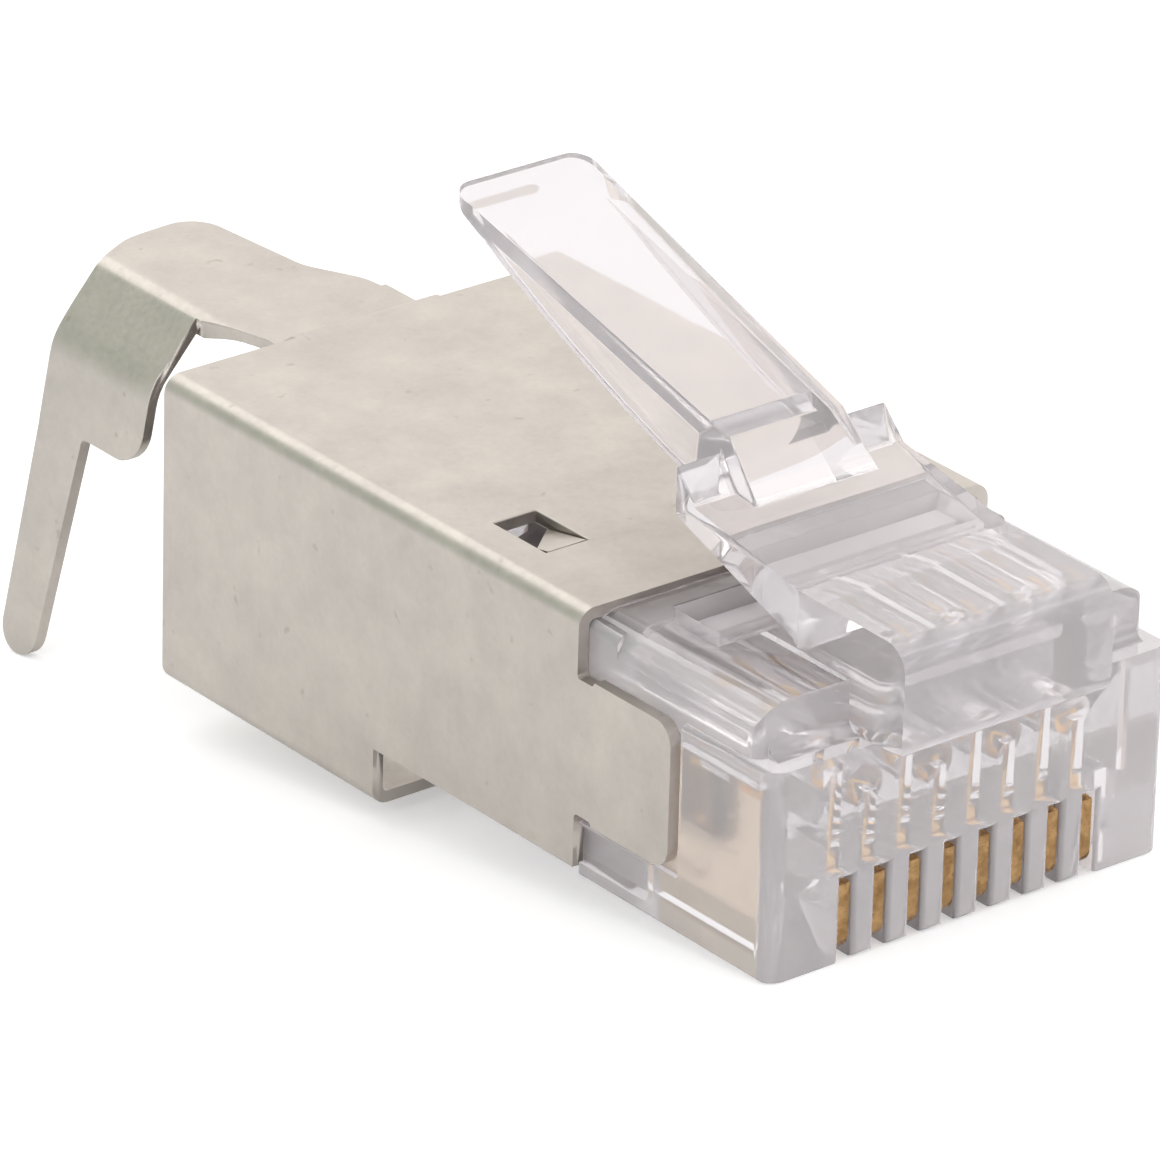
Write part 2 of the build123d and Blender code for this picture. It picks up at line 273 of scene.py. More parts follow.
class PlugFinish(bpy.types.PropertyGroup):
    """Colours and textures of the finishes."""

    clear_tint: FloatVectorProperty(
        name="Clear tint",
        description="Tint of the clear plastic",
        default=(1.0, 0.968, 0.982),
        subtype="COLOR",
    )
    clear_tint_deep: FloatVectorProperty(
        name="Clear tint, deep",
        description="Second tint of the clear plastic, in soft clouds",
        default=(0.99, 0.952, 0.968),
        subtype="COLOR",
    )
    clear_haze: FloatProperty(
        name="Clear haze",
        description="Share of light that the polished plastic scatters",
        default=0.29,
        subtype="FACTOR",
    )
    slot_haze: FloatProperty(
        name="Slot haze",
        description="Share of light that the walls of the contact slots scatter",
        default=0.03,
        subtype="FACTOR",
    )
    latch_haze: FloatProperty(
        name="Latch haze",
        description="Share of light that the latch scatters",
        default=0.17,
        subtype="FACTOR",
    )
    clear_rough: FloatProperty(
        name="Clear roughness",
        description="Roughness of the polished plastic",
        default=0.03,
        subtype="FACTOR",
    )
    core_haze: FloatProperty(
        name="Core haze",
        description="Share of light that the frosted inner faces scatter",
        default=0.42,
        subtype="FACTOR",
    )
    core_rough: FloatProperty(
        name="Core roughness",
        description="Roughness of the frosted inner faces",
        default=0.14,
        subtype="FACTOR",
    )
    clear_uneven: FloatProperty(
        name="Clear unevenness",
        description="Share by which the roughness of the clear plastic rises and falls in its clouds",
        default=0.3,
        subtype="FACTOR",
    )
    clear_relief: FloatProperty(
        name="Clear relief",
        description="Height of the faint flow waves on the clear plastic",
        default=0.000004,
        unit="LENGTH",
    )
    clear_ior: FloatProperty(
        name="Clear index",
        description="Refractive index of the clear plastic",
        default=1.57,
    )
    clear_cloud: FloatProperty(
        name="Clear cloud size",
        description="Size of the flow clouds in the clear plastic",
        default=0.0025,
        unit="LENGTH",
    )
    nickel_pale: FloatVectorProperty(
        name="Nickel, pale",
        description="Paler tone of the nickel plating",
        default=(0.64, 0.595, 0.545),
        subtype="COLOR",
    )
    nickel_dark: FloatVectorProperty(
        name="Nickel, dark",
        description="Darker tone of the nickel plating",
        default=(0.54, 0.505, 0.465),
        subtype="COLOR",
    )
    nickel_speck_colour: FloatVectorProperty(
        name="Nickel specks",
        description="Colour of the dull specks in the plating",
        default=(0.36, 0.33, 0.29),
        subtype="COLOR",
    )
    nickel_speck: FloatProperty(
        name="Nickel speck spacing",
        description="Spacing of the dull specks in the plating",
        default=0.00042,
        unit="LENGTH",
    )
    nickel_cloud: FloatProperty(
        name="Nickel cloud size",
        description="Size of the cloudy patches in the plating",
        default=0.0016,
        unit="LENGTH",
    )
    nickel_grain: FloatProperty(
        name="Nickel grain size",
        description="Size of the fine grain of the plating",
        default=0.00016,
        unit="LENGTH",
    )
    nickel_wave: FloatProperty(
        name="Nickel waves",
        description="Height of the soft waves in the plating",
        default=0.000005,
        unit="LENGTH",
    )
    nickel_relief: FloatProperty(
        name="Nickel relief",
        description="Height of the fine grain of the plating",
        default=0.000002,
        unit="LENGTH",
    )
    nickel_rough: FloatVectorProperty(
        name="Nickel roughness",
        description="Least and greatest roughness of the nickel plating",
        default=(0.32, 0.46),
        size=2,
    )
    gold: FloatVectorProperty(
        name="Gold",
        description="Colour of the gold plating on the flat sides of the blades",
        default=(0.8, 0.64, 0.42),
        subtype="COLOR",
    )
    # Painted light: the blades' edges behind the nose's front get this brighter gold, the lit copy of the edge
    # colour
    gold_edge_lit_behind_front: FloatVectorProperty(
        name="Gold, covered",
        description="Colour of the gold plating on the blades' covered edges behind the nose's front",
        default=(0.92, 0.6, 0.18),
        subtype="COLOR",
    )
    # Depths over which the painted slot shade on the blades' edges gives way to the lit gold
    slot_shade_fade_start: FloatProperty(
        name="Gold start",
        description="Where the covered part of the blades starts behind the nose's front",
        default=0.001,
        unit="LENGTH",
    )
    slot_shade_fade_end: FloatProperty(
        name="Gold end",
        description="Where the covered part of the blades has its full colour",
        default=0.0011,
        unit="LENGTH",
    )
    # Painted shade: bronze is the sheared edges' real colour, darkened here as the shade inside the recessed
    # slots
    bronze_pale_shaded_in_slots: FloatVectorProperty(
        name="Bronze, pale",
        description="Paler tone of the blades' sheared edges",
        default=(0.62, 0.385, 0.175),
        subtype="COLOR",
    )
    bronze_dark_shaded_in_slots: FloatVectorProperty(
        name="Bronze, dark",
        description="Darker tone of the blades' sheared edges",
        default=(0.3, 0.17, 0.07),
        subtype="COLOR",
    )
    gold_relief: FloatProperty(
        name="Gold relief",
        description="Height of the grain of the gold plating",
        default=0.000003,
        unit="LENGTH",
    )
    gold_rough: FloatVectorProperty(
        name="Gold roughness",
        description="Least and greatest roughness of the gold plating",
        default=(0.18, 0.34),
        size=2,
    )
    gold_grain: FloatProperty(
        name="Gold grain size",
        description="Size of the grain of the gold plating",
        default=0.0003,
        unit="LENGTH",
    )


class PlugStage(bpy.types.PropertyGroup):
    """Floor, light and camera of the studio."""

    sky_colour: FloatVectorProperty(
        name="Sky colour",
        description="Colour of the light all round",
        default=(0.88, 0.88, 0.89),
        subtype="COLOR",
    )
    floor_colour: FloatVectorProperty(
        name="Floor colour",
        description="Colour of the studio floor",
        default=(0.8, 0.8, 0.8),
        subtype="COLOR",
    )
    floor_colour_deep: FloatVectorProperty(
        name="Floor colour, deep",
        description="Second colour of the studio floor, in wide faint clouds",
        default=(0.785, 0.785, 0.785),
        subtype="COLOR",
    )
    floor_cloud: FloatProperty(
        name="Floor cloud size",
        description="Size of the faint clouds on the studio floor",
        default=0.08,
        unit="LENGTH",
    )
    floor_glow: FloatProperty(
        name="Floor glow",
        description="White that the floor adds by itself where the camera sees it",
        default=0.38,
    )
    floor_glow_in_metal: FloatProperty(
        name="Floor glow in metal",
        description="White that the floor adds by itself where metal mirrors it",
        default=0.12,
    )
    floor_white: FloatProperty(
        name="Floor white",
        description="White that the floor shows through the clear plastic",
        default=0.97,
    )
    floor_rough: FloatProperty(
        name="Floor roughness",
        description="Roughness of the studio floor",
        default=0.9,
        subtype="FACTOR",
    )
    floor_gap: FloatProperty(
        name="Floor gap",
        description="How far the floor lies under the plug",
        default=0.03 * MILLI,
        unit="LENGTH",
    )
    floor_size: FloatProperty(
        name="Floor size",
        description="Half width of the studio floor",
        default=1.5,
        unit="LENGTH",
    )
    light_bounces: IntProperty(
        name="Light bounces",
        description="How often light may bounce inside the clear plastic",
        default=12,
    )
    camera_from: FloatVectorProperty(
        name="Camera place",
        description="Where the camera stands",
        default=(-0.13019, -0.14631, 0.10087),
        subtype="TRANSLATION",
    )
    camera_along: FloatVectorProperty(
        name="Camera direction",
        description="The way that the camera looks",
        default=(0.5694, 0.7016, -0.4284),
        subtype="DIRECTION",
    )
    camera_roll: FloatProperty(
        name="Camera roll",
        description="Turn of the camera about its own line of sight",
        default=math.radians(1.54),
        subtype="ANGLE",
    )
    camera_lens: FloatProperty(
        name="Camera lens",
        description="Focal length of the camera",
        default=304.03,
        unit="CAMERA",
    )
    camera_sensor: FloatProperty(
        name="Camera sensor",
        description="Width of the camera's sensor",
        default=36.0,
        unit="CAMERA",
    )
    camera_near: FloatProperty(
        name="Camera near end",
        description="Where the camera starts to see",
        default=0.01,
        unit="LENGTH",
    )


def millimetres(name):
    """One of the plug's sizes, in millimetres."""
    return getattr(bpy.context.scene.plug_shape, name) / MILLI


def working_mesh(node):
    """The node's mesh in millimetres, welded, with flat faces joined up."""
    work = bmesh.new()
    work.from_mesh(frame["nodes"][node].data)
    bmesh.ops.transform(work, matrix=Matrix.Scale(1 / MILLI, 4), verts=work.verts)
    bmesh.ops.remove_doubles(work, verts=work.verts, dist=SAME)
    join_flat_faces(work)
    return work


def join_flat_faces(work):
    """Join faces that lie in one plane."""
    bmesh.ops.dissolve_limit(work, angle_limit=SAME_ANGLE, verts=work.verts, edges=work.edges)


def is_sharp(edge):
    """Whether the faces on both sides of an edge meet at a corner."""
    return len(edge.link_faces) == 2 and edge.calc_face_angle() > bpy.context.scene.plug_shape.sharp_angle


def has_room(edge, round_by):
    """Whether all edges at both ends of an edge are long enough for it to be rounded by that much."""
    near = {other for vertex in edge.verts for other in vertex.link_edges}
    return all(other.calc_length() > ROUND_ROOM * round_by for other in near)


def add_piece(name, work, materials, round_by, wide_edges=(), wide_by=0.0):
    """A new object from a mesh in millimetres, with its sharp edges rounded and its flat faces kept flat."""
    for face in work.faces:
        face.smooth = True
    weight = work.edges.layers.float.new("bevel_weight_edge")
    widest = max(round_by, wide_by)
    for edge in filter(is_sharp, work.edges):
        in_slot = all(face.material_index == SLOT for face in edge.link_faces)
        edge.smooth = has_room(edge, round_by) and not in_slot
        edge[weight] = edge.smooth * (wide_by if edge.index in wide_edges else round_by) / widest
    mesh = bpy.data.meshes.new(name)
    for material in materials:
        mesh.materials.append(material)
    work.to_mesh(mesh)
    work.free()
    piece = bpy.data.objects.new(name, mesh)
    bpy.context.scene.collection.objects.link(piece)
    bevel = piece.modifiers.new("rounded edges", "BEVEL")
    bevel.width = widest
    bevel.segments = ROUND_SEGMENTS
    bevel.limit_method = "WEIGHT"
    bevel.use_clamp_overlap = False
    flat = piece.modifiers.new("flat faces", "WEIGHTED_NORMAL")
    flat.weight = FLAT_WEIGHT
    flat.keep_sharp = True
    seen = piece.evaluated_get(bpy.context.evaluated_depsgraph_get())
    piece.data = bpy.data.meshes.new_from_object(seen)
    piece.data.name = name
    piece.modifiers.clear()
    bpy.data.meshes.remove(mesh)
    piece.data.transform(Matrix.Scale(MILLI, 4))
    return piece


def new_material(name):
    """An empty node material with its surface shader: the material, its nodes, links and shader."""
    material = bpy.data.materials.new(name)
    material.use_nodes = True
    nodes = material.node_tree.nodes
    shader = next(node for node in nodes if node.type == "BSDF_PRINCIPLED")
    return material, nodes, material.node_tree.links, shader


def noise(nodes, links, size, detail, roughness=0.5):
    """Noise of one feature size over the object's own coordinates."""
    place = nodes.new("ShaderNodeTexCoord")
    texture = nodes.new("ShaderNodeTexNoise")
    texture.inputs["Scale"].default_value = 1 / size
    texture.inputs["Detail"].default_value = detail
    texture.inputs["Roughness"].default_value = roughness
    links.new(place.outputs["Object"], texture.inputs["Vector"])
    return texture.outputs["Fac"]


def spread(nodes, links, value, low, high, start=0.3, end=0.7):
    """A value stretched from one range to another."""
    stretch = nodes.new("ShaderNodeMapRange")
    stretch.inputs["From Min"].default_value = start
    stretch.inputs["From Max"].default_value = end
    stretch.inputs["To Min"].default_value = low
    stretch.inputs["To Max"].default_value = high
    links.new(value, stretch.inputs["Value"])
    return stretch.outputs["Result"]


def two_tone(nodes, links, value, dark, pale):
    """A colour between two tones."""
    tone = nodes.new("ShaderNodeRGB")
    tone.outputs[0].default_value = (*dark, 1)
    return layered(nodes, links, tone.outputs[0], value, pale)


def layered(nodes, links, below, mask, colour):
    """One colour laid over another through a mask."""
    mix = nodes.new("ShaderNodeMix")
    mix.data_type = "RGBA"
    sockets = [socket for socket in mix.inputs if socket.type == "RGBA"]
    links.new(mask, mix.inputs["Factor"])
    links.new(below, sockets[0])
    sockets[1].default_value = (*colour, 1)
    return next(socket for socket in mix.outputs if socket.type == "RGBA")


def bump(nodes, links, value, height, normal=None):
    """A small relief of that height."""
    relief = nodes.new("ShaderNodeBump")
    relief.inputs["Strength"].default_value = 1.0
    relief.inputs["Distance"].default_value = height
    links.new(value, relief.inputs["Height"])
    if normal is not None:
        links.new(normal, relief.inputs["Normal"])
    return relief.outputs["Normal"]


def clear_plastic(name, haze, rough):
    """Clear moulded polycarbonate with a share of haze and faint flow clouds."""
    finish = bpy.context.scene.plug_finish
    material, nodes, links, shader = new_material(name)
    clouds = noise(nodes, links, finish.clear_cloud, detail=2.0)
    tint = two_tone(nodes, links, clouds, finish.clear_tint_deep, finish.clear_tint)
    links.new(tint, shader.inputs["Base Color"])
    change = rough * finish.clear_uneven
    uneven = spread(nodes, links, clouds, low=rough - change, high=rough + change)
    links.new(uneven, shader.inputs["Roughness"])
    links.new(bump(nodes, links, clouds, finish.clear_relief), shader.inputs["Normal"])
    shader.inputs["Transmission Weight"].default_value = 1.0 - haze
    shader.inputs["IOR"].default_value = finish.clear_ior
    return material


def nickel_plating():
    """Satin nickel plating with cloudy patches, a fine grain and a few dull specks."""
    finish = bpy.context.scene.plug_finish
    material, nodes, links, shader = new_material("nickel_plating")
    clouds = noise(nodes, links, finish.nickel_cloud, detail=5.0, roughness=0.65)
    grain = noise(nodes, links, finish.nickel_grain, detail=3.0, roughness=0.6)
    specks = noise(nodes, links, finish.nickel_speck, detail=1.0)
    shade = spread(nodes, links, clouds, low=0.0, high=1.0)
    plating = two_tone(nodes, links, shade, finish.nickel_dark, finish.nickel_pale)
    dull = spread(nodes, links, specks, low=0.0, high=0.4, start=0.73, end=0.8)
    plating = layered(nodes, links, plating, dull, finish.nickel_speck_colour)
    links.new(plating, shader.inputs["Base Color"])
    links.new(spread(nodes, links, grain, *finish.nickel_rough), shader.inputs["Roughness"])
    waves = bump(nodes, links, clouds, finish.nickel_wave)
    links.new(bump(nodes, links, grain, finish.nickel_relief, waves), shader.inputs["Normal"])
    shader.inputs["Metallic"].default_value = 1.0
    return material


def gold_plating_with_slot_shade():
    """Gold plating on the blades' flat sides, thin on their sheared edges where the bronze shows. The edges in
    the slots are painted darker as shade, and those behind the nose's front a brighter gold as lit.
    """
    finish = bpy.context.scene.plug_finish
    material, nodes, links, shader = new_material("gold_plating_with_slot_shade")
    grain = noise(nodes, links, finish.gold_grain, detail=3.0, roughness=0.6)
    shade = spread(nodes, links, grain, low=0.0, high=1.0)
    edge = two_tone(nodes, links, shade, finish.bronze_dark_shaded_in_slots, finish.bronze_pale_shaded_in_slots)
    facing = nodes.new("ShaderNodeTexCoord")
    across = nodes.new("ShaderNodeSeparateXYZ")
    links.new(facing.outputs["Normal"], across.inputs["Vector"])
    flat = nodes.new("ShaderNodeMath")
    flat.operation = "ABSOLUTE"
    links.new(across.outputs["X"], flat.inputs[0])
    along = nodes.new("ShaderNodeSeparateXYZ")
    links.new(facing.outputs["Object"], along.inputs["Vector"])
    depth = along.outputs["Y"]
    # Painted shade and light: edges near the nose's front keep the darkened bronze as the slots' shade, edges
    # behind it get the brighter lit gold
    covered = spread(nodes, links, depth, low=0.0, high=1.0, start=finish.slot_shade_fade_start, end=finish.slot_shade_fade_end)
    edge = layered(nodes, links, edge, covered, finish.gold_edge_lit_behind_front)
    links.new(layered(nodes, links, edge, flat.outputs[0], finish.gold), shader.inputs["Base Color"])
    links.new(spread(nodes, links, grain, *finish.gold_rough), shader.inputs["Roughness"])
    links.new(bump(nodes, links, grain, finish.gold_relief), shader.inputs["Normal"])
    shader.inputs["Metallic"].default_value = 1.0
    return material


def hinge_distance(vertex):
    """How far a vertex lies from the hinge axis, in millimetres."""
    return math.hypot(vertex.co.y - HINGE_Y, vertex.co.z - HINGE_Z)


def close_seat(work):
    """Take the round seat out of the housing's root and leave the root's rear face open for the latch."""
    reach = millimetres("seat_reach")
    seat = [face for face in work.faces if all(hinge_distance(v) < reach for v in face.verts)]
    if not seat:
        raise RuntimeError("the housing's round seat wasn't found")
    bmesh.ops.delete(work, geom=seat, context="FACES")
    rear_y = max(v.co.y for v in work.verts if v.is_boundary)
    low = HINGE_Z - millimetres("root_depth")
    rear = [face for face in work.faces if all(abs(v.co.y - rear_y) < SAME and v.co.z > low for v in face.verts)]
    bmesh.ops.delete(work, geom=rear, context="FACES")
    side = max(abs(v.co.x) for v in work.verts if v.is_boundary)
    for x in (-side, side):
        open_side = [v for v in work.verts if v.is_boundary and abs(v.co.x - x) < SAME]
        arc = [v for v in open_side if hinge_distance(v) < reach]
        arc.sort(key=lambda v: math.atan2(v.co.z - HINGE_Z, HINGE_Y - v.co.y))
        work.faces.new(arc)
    bmesh.ops.recalc_face_normals(work, faces=work.faces)
    join_flat_faces(work)


def rib_edges(work):
    """Numbers of the ribs' front edges, upright ones and those along the bottom."""
    work.edges.index_update()
    height = millimetres("rib_height")
    side = max(high.x for low, high in BLADES) + millimetres("slot_reach")
    nose_y = min(v.co.y for v in work.verts if v.co.z < height)
    front = {v for v in work.verts if v.co.y < nose_y + SAME and v.co.z < height and abs(v.co.x) < side}
    return {edge.index for edge in work.edges if front.issuperset(edge.verts)}


def is_inner(face):
    """Whether a face of the housing lies inside: wire channels, funnel, clamp window and blade slots."""
    x, y, z = face.calc_center_median()
    depth = millimetres("inner_depth")
    inside = abs(x) < HOUSING_SIDE - depth and z > depth / 2 and y > millimetres("inner_front")
    return inside and not (y < HINGE_Y and z > HINGE_Z - millimetres("root_foot"))


def is_barb_window(face):
    """Whether a face of the housing is in a window under one of the shield's barbs."""
    x, y, z = face.calc_center_median()
    across = millimetres("barb_inner") < abs(x) < millimetres("barb_outer")
    along = millimetres("barb_front") < y < millimetres("barb_rear")
    return across and along and z > millimetres("rib_height")


def is_near_blade(place):
    """Whether a place lies in or close round a contact blade."""
    near = millimetres("slot_reach")
    return any(all(low[i] - near < place[i] < high[i] + near for i in range(3)) for low, high in BLADES)


def is_slot_wall(face):
    """Whether a face of the housing is a wall of a contact slot behind the ribs."""
    centre = face.calc_center_median()
    upright = max(abs(face.normal.x), abs(face.normal.y)) > SQUARE
    return upright and centre.y > millimetres("slot_front") and is_near_blade(centre)


def is_top(face):
    """Whether a face of the housing is on its flat top beside and behind the latch's root."""
    low = HINGE_Z - millimetres("root_depth")
    return face.normal.z > UPWARD and low < face.calc_center_median().z < HINGE_Z


def widen_ribs(work):
    """Bring the ribs' sides close to the blades, as the moulding has them."""
    front = millimetres("inner_front")
    height = millimetres("rib_height")
    ribs = [v for v in work.verts if v.co.y < front and v.co.z < height]
    reach = millimetres("rib_reach")
    widen = millimetres("rib_widen")
    for low, high in BLADES:
        middle = (low.x + high.x) / 2
        least = high.x - middle + millimetres("rib_gap")
        for vertex in ribs:
            aside = vertex.co.x - middle
            if abs(aside) < reach:
                half = max(abs(aside) - widen, least)
                vertex.co.x = middle + math.copysign(min(abs(aside), half), aside)


def root_opening():
    """Where the root's rear face lies, with its lower and upper edge, in millimetres."""
    work = working_mesh("plug_body")
    low = HINGE_Z - millimetres("root_depth")
    front = HINGE_Y - millimetres("root_reach")
    near = [v.co for v in work.verts if low < v.co.z and front < v.co.y < HINGE_Y]
    rear_y = max(co.y for co in near)
    heights = [co.z for co in near if abs(co.y - rear_y) < SAME]
    work.free()
    return rear_y, min(heights), max(heights)


def grow_root(work):
    """Carry the latch's cut end to the opening in the housing's root, in rows that can bend."""
    rows = bpy.context.scene.plug_shape.root_loops
    rear_y, low, high = root_opening()
    loops = [edge.link_loops[0] for edge in work.edges if edge.is_boundary]
    if not loops:
        raise RuntimeError("the latch has no cut end")
    edges = [(loop.link_loop_next.vert, loop.vert) for loop in loops]
    ends = list(dict.fromkeys(vertex for edge in edges for vertex in edge))
    cut_y = max(v.co.y for v in ends)
    cut_low = min(v.co.z for v in ends)
    cut_high = max(v.co.z for v in ends)
    last = {vertex: vertex for vertex in ends}
    for row in range(1, rows + 1):
        share = row / rows
        row_y = cut_y + (rear_y - cut_y) * share
        row_low = cut_low + (low - cut_low) * share**2
        row_high = cut_high + (high - cut_high) * share
        made = {}
        for vertex in ends:
            up = (vertex.co.z - cut_low) / (cut_high - cut_low)
            made[vertex] = work.verts.new((vertex.co.x, row_y, row_low + (row_high - row_low) * up))
        for first, second in edges:
            work.faces.new((last[first], last[second], made[second], made[first]))
        last = made
    bmesh.ops.recalc_face_normals(work, faces=work.faces)


class MODULAR_PLUG_OT_housing(bpy.types.Operator):
    """Make the clear housing, open at the back of its root where the latch grows out of it"""

    bl_idname = "modular_plug.housing"
    bl_label = "Clear housing"

    def execute(self, context):
        work = working_mesh("plug_body")
        close_seat(work)
        widen_ribs(work)
        for face in work.faces:
            if is_slot_wall(face) or is_barb_window(face) or is_top(face):
                face.material_index = SLOT
            elif is_inner(face):
                face.material_index = CORE
        finish = context.scene.plug_finish
        materials = (
            clear_plastic("housing_polycarbonate", finish.clear_haze, finish.clear_rough),
            clear_plastic("housing_core_polycarbonate", finish.core_haze, finish.core_rough),
            clear_plastic("housing_slot_polycarbonate", finish.slot_haze, finish.clear_rough),
        )
        edge_round = millimetres("edge_round")
        piece = add_piece("clear_housing", work, materials, edge_round, rib_edges(work), millimetres("rib_round"))
        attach(piece, "plug")
        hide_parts("plug_body")
        return {"FINISHED"}


class MODULAR_PLUG_OT_latch(bpy.types.Operator):
    """Make the clear latch with its root grown to the opening in the housing's root"""

    bl_idname = "modular_plug.latch"
    bl_label = "Clear latch"

    def execute(self, context):
        work = working_mesh("latch")
        cut = (0, HINGE_Y + millimetres("root_cut"), 0)
        everything = work.verts[:] + work.edges[:] + work.faces[:]
        bmesh.ops.bisect_plane(
            work, geom=everything, dist=SAME / 2, plane_co=cut, plane_no=(0, 1, 0), clear_inner=True
        )
        grow_root(work)
        finish = context.scene.plug_finish
        material = clear_plastic("latch_polycarbonate", finish.latch_haze, finish.clear_rough)
        piece = add_piece("clear_latch", work, (material,), millimetres("edge_round"))
        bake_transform(piece)
        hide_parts("latch")
        return {"FINISHED"}


class MODULAR_PLUG_OT_shield(bpy.types.Operator):
    """Make the folded nickel shield with its broken sheet edges"""

    bl_idname = "modular_plug.shield"
    bl_label = "Nickel shield"

    def execute(self, context):
        work = working_mesh("shield")
        piece = add_piece("nickel_shield", work, (nickel_plating(),), millimetres("sheet_round"))
        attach(piece, "plug")
        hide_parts("shield")
        return {"FINISHED"}


class MODULAR_PLUG_OT_contacts(bpy.types.Operator):
    """Give the contact blades their gold plating"""

    bl_idname = "modular_plug.contacts"
    bl_label = "Gold contacts"

    def execute(self, context):
        material = gold_plating_with_slot_shade()
        for name in BLADE_NAMES:
            slots = frame["nodes"][name].data.materials
            slots.clear()
            slots.append(material)
        return {"FINISHED"}


def soft_card(nodes, links, direction, inner, outer):
    """Mask of a soft round card in the sky, one inside the inner angle and nothing outside the outer one."""
    place = nodes.new("ShaderNodeTexCoord")
    dot = nodes.new("ShaderNodeVectorMath")
    dot.operation = "DOT_PRODUCT"
    dot.inputs[1].default_value = Vector(direction).normalized()
    links.new(place.outputs["Generated"], dot.inputs[0])
    mask = nodes.new("ShaderNodeMapRange")
    mask.interpolation_type = "SMOOTHSTEP"
    mask.inputs["From Min"].default_value = math.cos(math.radians(outer))
    mask.inputs["From Max"].default_value = math.cos(math.radians(inner))
    links.new(dot.outputs["Value"], mask.inputs["Value"])
    return mask.outputs["Result"]


def make_sky():
    """Soft light all round, laid on in soft cards."""
    world = bpy.data.worlds.new("studio_sky")
    bpy.context.scene.world = world
    world.use_nodes = True
    nodes = world.node_tree.nodes
    links = world.node_tree.links
    background = next(node for node in nodes if node.type == "BACKGROUND")
    base = nodes.new("ShaderNodeRGB")
    base.outputs[0].default_value = (*bpy.context.scene.plug_stage.sky_colour, 1)
    sky = base.outputs[0]
    for direction, inner, outer, colour in SKY_CARDS:
        sky = layered(nodes, links, sky, soft_card(nodes, links, direction, inner, outer), colour)
    links.new(sky, background.inputs["Color"])


def floor_paint():
    """Pale paint that shows plain white through the clear plastic, and keeps the shadow elsewhere."""
    stage = bpy.context.scene.plug_stage
    material, nodes, links, shader = new_material("studio_floor")
    clouds = noise(nodes, links, stage.floor_cloud, detail=2.0)
    paint = two_tone(nodes, links, clouds, stage.floor_colour_deep, stage.floor_colour)
    links.new(paint, shader.inputs["Base Color"])
    shader.inputs["Roughness"].default_value = stage.floor_rough
    shader.inputs["Specular IOR Level"].default_value = 0.0
    shader.inputs["Emission Color"].default_value = (1, 1, 1, 1)
    path = nodes.new("ShaderNodeLightPath")
    glow = nodes.new("ShaderNodeMath")
    glow.operation = "MULTIPLY"
    links.new(path.outputs["Is Camera Ray"], glow.inputs[0])
    glow.inputs[1].default_value = stage.floor_glow
    mirrored = nodes.new("ShaderNodeMath")
    mirrored.operation = "MULTIPLY_ADD"
    links.new(path.outputs["Is Glossy Ray"], mirrored.inputs[0])
    mirrored.inputs[1].default_value = stage.floor_glow_in_metal
    links.new(glow.outputs[0], mirrored.inputs[2])
    links.new(mirrored.outputs[0], shader.inputs["Emission Strength"])
    white = nodes.new("ShaderNodeEmission")
    white.inputs["Strength"].default_value = stage.floor_white
    mix = nodes.new("ShaderNodeMixShader")
    links.new(path.outputs["Is Transmission Ray"], mix.inputs["Fac"])
    links.new(shader.outputs["BSDF"], mix.inputs[1])
    links.new(white.outputs["Emission"], mix.inputs[2])
    output = next(node for node in nodes if node.type == "OUTPUT_MATERIAL")
    links.new(mix.outputs["Shader"], output.inputs["Surface"])
    return material


def make_floor():
    """Pale floor through the nose's lower front edge and the finger's tip, on which the plug rests."""
    stage = bpy.context.scene.plug_stage
    tip = min((v.co for v in frame["nodes"]["shield"].data.vertices), key=lambda co: co.z)
    half = stage.floor_size
    mesh = bpy.data.meshes.new("studio_floor")
    corners = [(-half, -half, 0), (half, -half, 0), (half, half, 0), (-half, half, 0)]
    mesh.from_pydata(corners, [], [(0, 1, 2, 3)])
    floor = bpy.data.objects.new("studio_floor", mesh)
    bpy.context.scene.collection.objects.link(floor)
    floor.rotation_euler.x = math.atan2(tip.z, tip.y)
    floor.location.z = -stage.floor_gap
    mesh.materials.append(floor_paint())


def soft_box(name, place, size, power):
    """Square studio lamp that looks at the plug."""
    lamp = bpy.data.lights.new(name, "AREA")
    lamp.shape = "SQUARE"
    lamp.size = size
    lamp.energy = power
    holder = bpy.data.objects.new(name, lamp)
    bpy.context.scene.collection.objects.link(holder)
    holder.location = place
    middle = (Vector(CAD_BOX[0]) + Vector(CAD_BOX[1])) / 2
    holder.rotation_euler = (middle - Vector(place)).to_track_quat("-Z", "Y").to_euler()


def make_camera():
    """Camera at the photograph's viewpoint."""
    stage = bpy.context.scene.plug_stage
    camera = bpy.data.cameras.new("studio_camera")
    camera.lens = stage.camera_lens
    camera.sensor_width = stage.camera_sensor
    camera.clip_start = stage.camera_near
    holder = bpy.data.objects.new("studio_camera", camera)
    bpy.context.scene.collection.objects.link(holder)
    turn = Vector(stage.camera_along).to_track_quat("-Z", "Y").to_matrix()
    turn = turn @ Matrix.Rotation(stage.camera_roll, 3, "Z")
    holder.matrix_world = Matrix.Translation(stage.camera_from) @ turn.to_4x4()
    bpy.context.scene.camera = holder


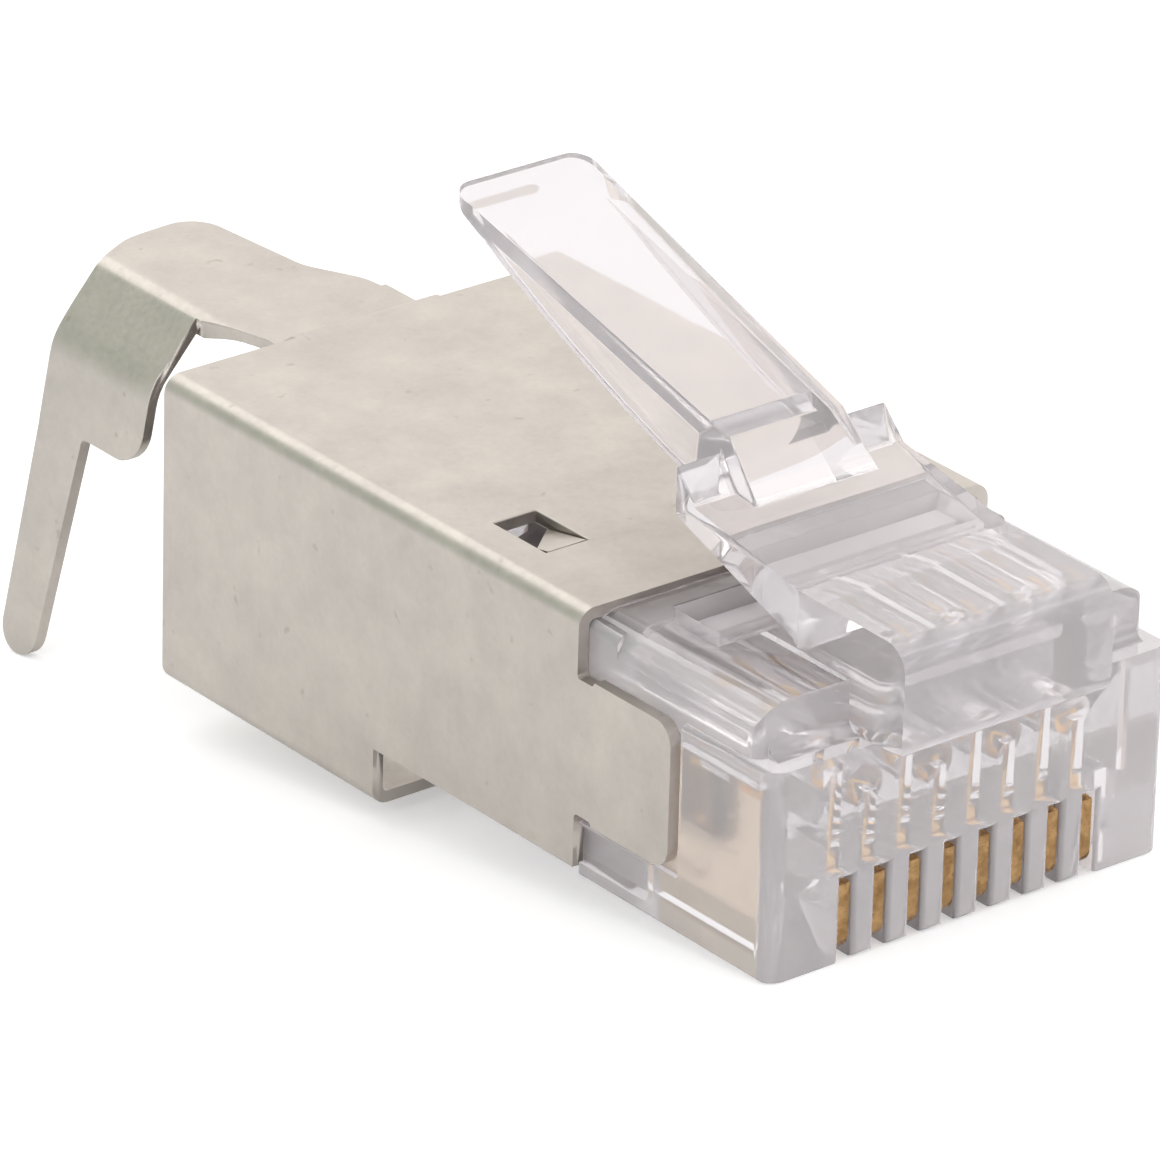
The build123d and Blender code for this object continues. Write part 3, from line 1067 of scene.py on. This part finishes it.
class MODULAR_PLUG_OT_stage(bpy.types.Operator):
    """Set up the floor, the light and the camera"""

    bl_idname = "modular_plug.stage"
    bl_label = "Studio"

    def execute(self, context):
        make_sky()
        make_floor()
        for lamp in LAMPS:
            soft_box(*lamp)
        make_camera()
        context.scene.view_settings.view_transform = "Standard"
        bounces = context.scene.plug_stage.light_bounces
        context.scene.cycles.max_bounces = bounces
        context.scene.cycles.diffuse_bounces = bounces
        context.scene.cycles.glossy_bounces = bounces
        context.scene.cycles.transmission_bounces = bounces
        return {"FINISHED"}


class MODULAR_PLUG_PT_panel(bpy.types.Panel):
    """Sidebar panel with the plug's pieces and finishes"""

    bl_idname = "MODULAR_PLUG_PT_panel"
    bl_label = "Modular Plug"
    bl_space_type = "VIEW_3D"
    bl_region_type = "UI"
    bl_category = "Modular Plug"

    def draw(self, context):
        for group in (context.scene.plug_shape, context.scene.plug_finish, context.scene.plug_stage):
            box = self.layout.box()
            for name in group.__annotations__:
                box.prop(group, name)
        for operator in OPERATORS:
            self.layout.operator(operator.bl_idname)


OPERATORS = (
    MODULAR_PLUG_OT_housing,
    MODULAR_PLUG_OT_latch,
    MODULAR_PLUG_OT_shield,
    MODULAR_PLUG_OT_contacts,
    MODULAR_PLUG_OT_stage,
)
GROUPS = (PlugShape, PlugFinish, PlugStage)


def register():
    """Make the classes and their values known."""
    for cls in GROUPS + OPERATORS + (MODULAR_PLUG_PT_panel,):
        bpy.utils.register_class(cls)
    bpy.types.Scene.plug_shape = PointerProperty(type=PlugShape)
    bpy.types.Scene.plug_finish = PointerProperty(type=PlugFinish)
    bpy.types.Scene.plug_stage = PointerProperty(type=PlugStage)


def unregister():
    """Take the values and classes away again."""
    del bpy.types.Scene.plug_stage
    del bpy.types.Scene.plug_finish
    del bpy.types.Scene.plug_shape
    for cls in reversed(GROUPS + OPERATORS + (MODULAR_PLUG_PT_panel,)):
        bpy.utils.unregister_class(cls)


def main():
    """Make every piece and the studio."""
    register()
    bpy.ops.modular_plug.housing()
    bpy.ops.modular_plug.latch()
    bpy.ops.modular_plug.shield()
    bpy.ops.modular_plug.contacts()
    bpy.ops.modular_plug.stage()
    bpy.context.view_layer.update()


if __name__ == "__main__":
    main()
